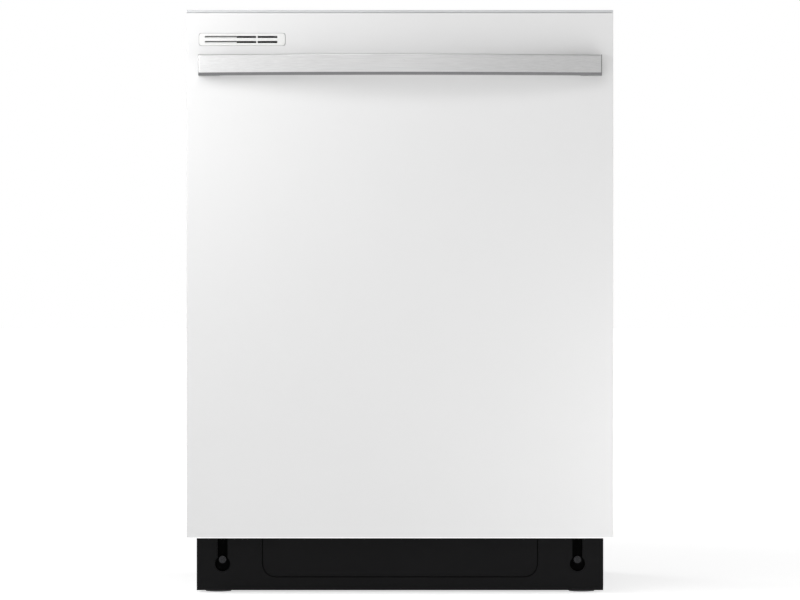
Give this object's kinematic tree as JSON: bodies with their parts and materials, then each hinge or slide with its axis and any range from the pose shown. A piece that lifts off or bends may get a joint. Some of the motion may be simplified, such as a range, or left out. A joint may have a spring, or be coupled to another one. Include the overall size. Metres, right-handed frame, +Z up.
{
  "type": "built-in dishwasher",
  "caption": "Built-in dishwasher with a hinged front door, bowed bar handle, black toe-kick, stainless tub, sliding wire racks and rotating spray arms.",
  "frame": {"origin": "on the floor, below the middle of the overall bounding box, with the feet retracted", "axes": "+X to the right seen from the front, +Y towards the back, +Z up; the door faces -Y"},
  "size_m": [0.606, 0.632, 0.832],
  "materials": {
    "door_enamel": "gloss",
    "handle_steel": "satin",
    "vent_plastic": "gloss",
    "flap_plastic": "matte",
    "panel_plastic": "gloss",
    "touch_surface": "gloss",
    "board_green": "satin",
    "stainless": "satin",
    "floor_plastic": "satin",
    "arm_plastic": "satin",
    "filter_plastic": "satin",
    "seal_rubber": "matte",
    "hose_rubber": "matte",
    "base_plastic": "matte",
    "kick_black": "satin",
    "zinc": "satin",
    "spring_steel": "satin",
    "felt": "matte",
    "motor_metal": "satin",
    "pump_plastic": "satin",
    "valve_plastic": "satin",
    "heater_tube": "satin",
    "rack_nylon": "satin",
    "rail_steel": "satin",
    "roller_plastic": "satin",
    "basket_plastic": "satin",
    "dispenser_plastic": "satin",
    "lid_plastic": "satin",
    "foot_plastic": "satin"
  },
  "bodies": {
    "cabinet": {"tub_walls": "stainless", "tub_floor": "floor_plastic", "door_gasket": "seal_rubber", "base_frame": "base_plastic", "kick_plate": "kick_black", "kick_plate_screws": "zinc", "sound_blanket": "felt", "mounting_brackets": "zinc", "sump_housing": "pump_plastic", "wash_motor": "motor_metal", "drain_pump": "pump_plastic", "drain_hose": "hose_rubber", "inlet_valve": "valve_plastic", "fill_hose": "hose_rubber", "junction_box": "zinc", "heater_element": "heater_tube", "supply_tube": "floor_plastic", "rail_rollers": "roller_plastic", "hinge_brackets": "zinc", "door_springs": "spring_steel", "door_strike": "zinc"},
    "door": {"door_skin": "door_enamel", "door_liner": "stainless", "control_panel": "panel_plastic", "touch_strip": "touch_surface", "control_board": "board_green", "handle": "handle_steel", "door_screws": "zinc", "vent_grille": "vent_plastic", "dispenser_body": "dispenser_plastic", "latch_housing": "pump_plastic", "hinge_arms": "zinc"},
    "upper_rack": {"upper_rack": "rack_nylon", "upper_spray_hub": "floor_plastic"},
    "lower_rack": {"lower_rack": "rack_nylon"},
    "wash_impeller": {"wash_impeller": "pump_plastic"},
    "leak_float": {"leak_float": "valve_plastic"},
    "cylinder_filter": {"cylinder_filter": "filter_plastic"},
    "lower_spray_arm": {"lower_spray_arm": "arm_plastic"},
    "top_spray_arm": {"top_spray_arm": "arm_plastic"},
    "foot_front_left": {"foot_front_left": "foot_plastic"},
    "foot_front_right": {"foot_front_right": "foot_plastic"},
    "foot_back_left": {"foot_back_left": "foot_plastic"},
    "foot_back_right": {"foot_back_right": "foot_plastic"},
    "vent_flap": {"vent_flap": "flap_plastic"},
    "dispenser_lid": {"dispenser_lid": "lid_plastic"},
    "rinse_cap": {"rinse_cap": "lid_plastic"},
    "latch_pawl": {"latch_pawl": "zinc"},
    "hinge_links": {"hinge_links": "zinc"},
    "upper_spray_arm": {"upper_spray_arm": "arm_plastic"},
    "upper_rollers_front": {"upper_rollers_front": "roller_plastic"},
    "upper_rollers_back": {"upper_rollers_back": "roller_plastic"},
    "cup_shelf": {"cup_shelf": "rack_nylon"},
    "upper_rails": {"upper_rails": "rail_steel"},
    "lower_wheels_1": {"lower_wheels_1": "roller_plastic"},
    "lower_wheels_2": {"lower_wheels_2": "roller_plastic"},
    "lower_wheels_3": {"lower_wheels_3": "roller_plastic"},
    "lower_wheels_4": {"lower_wheels_4": "roller_plastic"},
    "fold_tines": {"fold_tines": "rack_nylon"},
    "silverware_basket": {"silverware_basket": "basket_plastic"}
  },
  "joints": [
    {"name": "door_hinge", "type": "hinge", "parent": "cabinet", "child": "door", "pos_m": [0, -0.232, 0.108], "axis": [1, 0, 0], "range_deg": [0, 90], "stiffness_Nm_per_rad": 19, "springref_deg": -8.59},
    {"name": "link_slide", "type": "slide", "parent": "cabinet", "child": "hinge_links", "axis": [0, -1, 0], "range_m": [0, 0.0601], "deforming": ["door_springs"]},
    {"name": "lower_rack_slide", "type": "slide", "parent": "cabinet", "child": "lower_rack", "axis": [0, -1, 0], "range_m": [0, 0.1802]},
    {"name": "upper_rails_slide", "type": "slide", "parent": "cabinet", "child": "upper_rails", "axis": [0, -1, 0], "range_m": [0, 0.2302]},
    {"name": "upper_rack_slide", "type": "slide", "parent": "cabinet", "child": "upper_rack", "axis": [0, -1, 0], "range_m": [0, 0.4602]},
    {"name": "lower_wheels_1_roll", "type": "hinge", "parent": "lower_rack", "child": "lower_wheels_1", "pos_m": [0, -0.062, 0.139], "axis": [1, 0, 0], "range_deg": [0, 607]},
    {"name": "lower_wheels_2_roll", "type": "hinge", "parent": "lower_rack", "child": "lower_wheels_2", "pos_m": [0, 0.03, 0.139], "axis": [1, 0, 0], "range_deg": [0, 607]},
    {"name": "lower_wheels_3_roll", "type": "hinge", "parent": "lower_rack", "child": "lower_wheels_3", "pos_m": [0, 0.13, 0.139], "axis": [1, 0, 0], "range_deg": [0, 607]},
    {"name": "lower_wheels_4_roll", "type": "hinge", "parent": "lower_rack", "child": "lower_wheels_4", "pos_m": [0, 0.225, 0.139], "axis": [1, 0, 0], "range_deg": [0, 607]},
    {"name": "upper_rollers_front_roll", "type": "hinge", "parent": "upper_rack", "child": "upper_rollers_front", "pos_m": [0, 0.07, 0.569], "axis": [1, 0, 0], "range_deg": [0, 1147]},
    {"name": "upper_rollers_back_roll", "type": "hinge", "parent": "upper_rack", "child": "upper_rollers_back", "pos_m": [0, 0.215, 0.569], "axis": [1, 0, 0], "range_deg": [0, 1147]},
    {"name": "upper_spray_arm_spin", "type": "hinge", "parent": "upper_rack", "child": "upper_spray_arm", "pos_m": [0, 0.048, 0.472], "axis": [0, 0, 1], "continuous": true},
    {"name": "lower_spray_arm_spin", "type": "hinge", "parent": "cabinet", "child": "lower_spray_arm", "pos_m": [0, 0.048, 0.137], "axis": [0, 0, 1], "continuous": true},
    {"name": "top_spray_arm_spin", "type": "hinge", "parent": "cabinet", "child": "top_spray_arm", "pos_m": [0, 0.048, 0.758], "axis": [0, 0, 1], "continuous": true},
    {"name": "wash_impeller_spin", "type": "hinge", "parent": "cabinet", "child": "wash_impeller", "pos_m": [-0.0141, -0.035, 0.054], "axis": [1, 0, 0], "continuous": true},
    {"name": "filter_turn", "type": "hinge", "parent": "cabinet", "child": "cylinder_filter", "pos_m": [0.095, -0.035, 0.115], "axis": [0, 0, 1], "range_deg": [0, 90]},
    {"name": "leak_float_lift", "type": "slide", "parent": "cabinet", "child": "leak_float", "axis": [0, 0, 1], "range_m": [0, 0.008]},
    {"name": "foot_front_left_screw", "type": "slide", "parent": "cabinet", "child": "foot_front_left", "axis": [0, 0, -1], "range_m": [0, 0.03]},
    {"name": "foot_front_right_screw", "type": "slide", "parent": "cabinet", "child": "foot_front_right", "axis": [0, 0, -1], "range_m": [0, 0.03]},
    {"name": "foot_back_left_screw", "type": "slide", "parent": "cabinet", "child": "foot_back_left", "axis": [0, 0, -1], "range_m": [0, 0.03]},
    {"name": "foot_back_right_screw", "type": "slide", "parent": "cabinet", "child": "foot_back_right", "axis": [0, 0, -1], "range_m": [0, 0.03]},
    {"name": "vent_flap_swing", "type": "hinge", "parent": "door", "child": "vent_flap", "pos_m": [-0.2043, -0.2582, 0.7964], "axis": [1, 0, 0], "range_deg": [0, 60]},
    {"name": "dispenser_lid_slide", "type": "slide", "parent": "door", "child": "dispenser_lid", "axis": [1, 0, 0], "range_m": [0, 0.084]},
    {"name": "rinse_cap_turn", "type": "hinge", "parent": "door", "child": "rinse_cap", "pos_m": [0.045, -0.212, 0.478], "axis": [0, 1, 0], "range_deg": [0, 90]},
    {"name": "latch_pawl_swing", "type": "hinge", "parent": "door", "child": "latch_pawl", "pos_m": [0, -0.252, 0.8135], "axis": [-1, 0, 0], "range_deg": [0, 4], "stiffness_Nm_per_rad": 0.5, "springref_deg": -17.19},
    {"name": "cup_shelf_fold", "type": "hinge", "parent": "upper_rack", "child": "cup_shelf", "pos_m": [0.225, 0.06, 0.598], "axis": [0, 1, 0], "range_deg": [0, 90]},
    {"name": "fold_tines_fold", "type": "hinge", "parent": "lower_rack", "child": "fold_tines", "pos_m": [-0.02, 0.06, 0.16098], "axis": [0, 1, 0], "range_deg": [0, 85]},
    {"name": "silverware_basket_lift", "type": "slide", "parent": "lower_rack", "child": "silverware_basket", "axis": [0, 0, 1], "range_m": [0, 0.1]}
  ],
  "couplings": [
    {"joint": "link_slide", "follows": "door_hinge", "m_per_rad": 0.0382},
    {"joint": "lower_rack_slide", "follows": "door_hinge", "m_per_rad": 0.1146},
    {"joint": "upper_rails_slide", "follows": "door_hinge", "m_per_rad": 0.14645},
    {"joint": "upper_rack_slide", "follows": "door_hinge", "m_per_rad": 0.2929},
    {"joint": "lower_wheels_1_roll", "follows": "door_hinge", "ratio": 6.7412},
    {"joint": "lower_wheels_2_roll", "follows": "door_hinge", "ratio": 6.7412},
    {"joint": "lower_wheels_3_roll", "follows": "door_hinge", "ratio": 6.7412},
    {"joint": "lower_wheels_4_roll", "follows": "door_hinge", "ratio": 6.7412},
    {"joint": "upper_rollers_front_roll", "follows": "door_hinge", "ratio": 12.735},
    {"joint": "upper_rollers_back_roll", "follows": "door_hinge", "ratio": 12.735}
  ]
}
